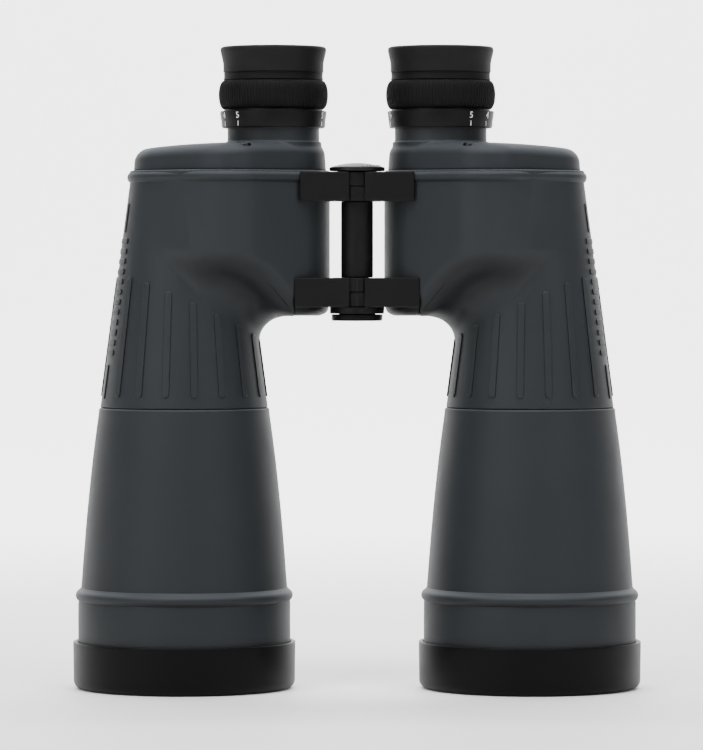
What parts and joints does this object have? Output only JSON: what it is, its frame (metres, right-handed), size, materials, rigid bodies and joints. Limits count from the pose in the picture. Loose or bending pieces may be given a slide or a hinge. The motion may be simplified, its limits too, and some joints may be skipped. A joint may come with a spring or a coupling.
{
  "type": "binoculars",
  "caption": "Large prism binoculars with rubber-armoured halves on a folding hinge, individually focused eyepieces, push-on objective caps and a capped tripod socket.",
  "frame": {"origin": "on the floor midway between the objective axes, at the bottom of the objective caps", "axes": "+Z from the objectives to the eyepieces, +X towards the right half in the front view, -Y towards the flat faces of the hinge arms"},
  "size_m": [0.2366, 0.0926, 0.2669],
  "materials": {
    "armour_rubber": "matte dark green-grey moulded rubber with a fine grain",
    "grip_rubber": "matte black rubber",
    "cap_plastic": "satin black moulded plastic",
    "hinge_metal": "satin black enamel on cast metal",
    "black_metal": "black anodised",
    "cast_metal": "dark painted casting",
    "disc_plastic": "glossy black with white marks",
    "steel": "machined",
    "spring_brass": "rolled",
    "seal_rubber": "soft",
    "optical_glass": "polished, coated"
  },
  "bodies": {
    "left_half": {"left_body_casting": "cast_metal", "left_body_armour": "armour_rubber", "left_rear_cover": "armour_rubber", "left_cover_screws": "steel", "left_cover_gasket": "seal_rubber", "left_prism_shelf": "cast_metal", "left_upper_prism": "optical_glass", "left_lower_prism": "optical_glass", "left_prism_straps": "spring_brass", "left_objective_tube": "cast_metal", "left_objective_armour": "armour_rubber", "left_objective_cell": "black_metal", "left_objective_front_lens": "optical_glass", "left_objective_rear_lens": "optical_glass", "left_objective_retainer": "black_metal", "left_eyepiece_neck": "armour_rubber", "left_upper_arm": "hinge_metal", "left_lower_arm": "hinge_metal", "left_strap_lug": "hinge_metal", "hinge_axle": "steel", "hinge_tube": "hinge_metal", "hinge_washers": "spring_brass", "hinge_locknut": "steel", "scale_disc": "disc_plastic"},
    "right_half": {"right_body_casting": "cast_metal", "right_body_armour": "armour_rubber", "right_rear_cover": "armour_rubber", "right_cover_screws": "steel", "right_cover_gasket": "seal_rubber", "right_prism_shelf": "cast_metal", "right_upper_prism": "optical_glass", "right_lower_prism": "optical_glass", "right_prism_straps": "spring_brass", "right_objective_tube": "cast_metal", "right_objective_armour": "armour_rubber", "right_objective_cell": "black_metal", "right_objective_front_lens": "optical_glass", "right_objective_rear_lens": "optical_glass", "right_objective_retainer": "black_metal", "right_eyepiece_neck": "armour_rubber", "right_upper_arm": "hinge_metal", "right_lower_arm": "hinge_metal", "right_strap_lug": "hinge_metal"},
    "left_ocular": {"left_ocular_barrel": "black_metal", "left_field_lens": "optical_glass", "left_eye_lens": "optical_glass"},
    "left_focus": {"left_dioptre_ring": "black_metal", "left_focus_ring": "grip_rubber", "left_eyecup": "grip_rubber"},
    "left_cap": {"left_objective_cap": "cap_plastic"},
    "right_ocular": {"right_ocular_barrel": "black_metal", "right_field_lens": "optical_glass", "right_eye_lens": "optical_glass"},
    "right_focus": {"right_dioptre_ring": "black_metal", "right_focus_ring": "grip_rubber", "right_eyecup": "grip_rubber"},
    "right_cap": {"right_objective_cap": "cap_plastic"},
    "tripod_cap": {"tripod_cap": "cap_plastic"}
  },
  "joints": [
    {"name": "hinge_fold", "type": "hinge", "parent": "left_half", "child": "right_half", "pos_m": [0, -0.0125, 0.19], "axis": [0, 0, 1], "range_deg": [-29, 42]},
    {"name": "left_focus_travel", "type": "slide", "parent": "left_half", "child": "left_ocular", "axis": [0, 0, 1], "range_m": [-0.0036, 0.0036]},
    {"name": "left_focus_turn", "type": "hinge", "parent": "left_ocular", "child": "left_focus", "pos_m": [-0.0348, 0, 0.245], "axis": [0, 0, 1], "range_deg": [-125, 125]},
    {"name": "left_cap_pull", "type": "slide", "parent": "left_half", "child": "left_cap", "axis": [0, 0, -1], "range_m": [0, 0.03]},
    {"name": "right_focus_travel", "type": "slide", "parent": "right_half", "child": "right_ocular", "axis": [0, 0, 1], "range_m": [-0.0036, 0.0036]},
    {"name": "right_focus_turn", "type": "hinge", "parent": "right_ocular", "child": "right_focus", "pos_m": [0.0348, 0, 0.245], "axis": [0, 0, 1], "range_deg": [-125, 125]},
    {"name": "right_cap_pull", "type": "slide", "parent": "right_half", "child": "right_cap", "axis": [0, 0, -1], "range_m": [0, 0.03]},
    {"name": "tripod_cap_pull", "type": "slide", "parent": "left_half", "child": "tripod_cap", "axis": [0, 0, -1], "range_m": [0, 0.03]}
  ],
  "couplings": [
    {"joint": "left_focus_turn", "follows": "left_focus_travel", "rad_per_m": 605},
    {"joint": "right_focus_turn", "follows": "right_focus_travel", "rad_per_m": 605}
  ]
}
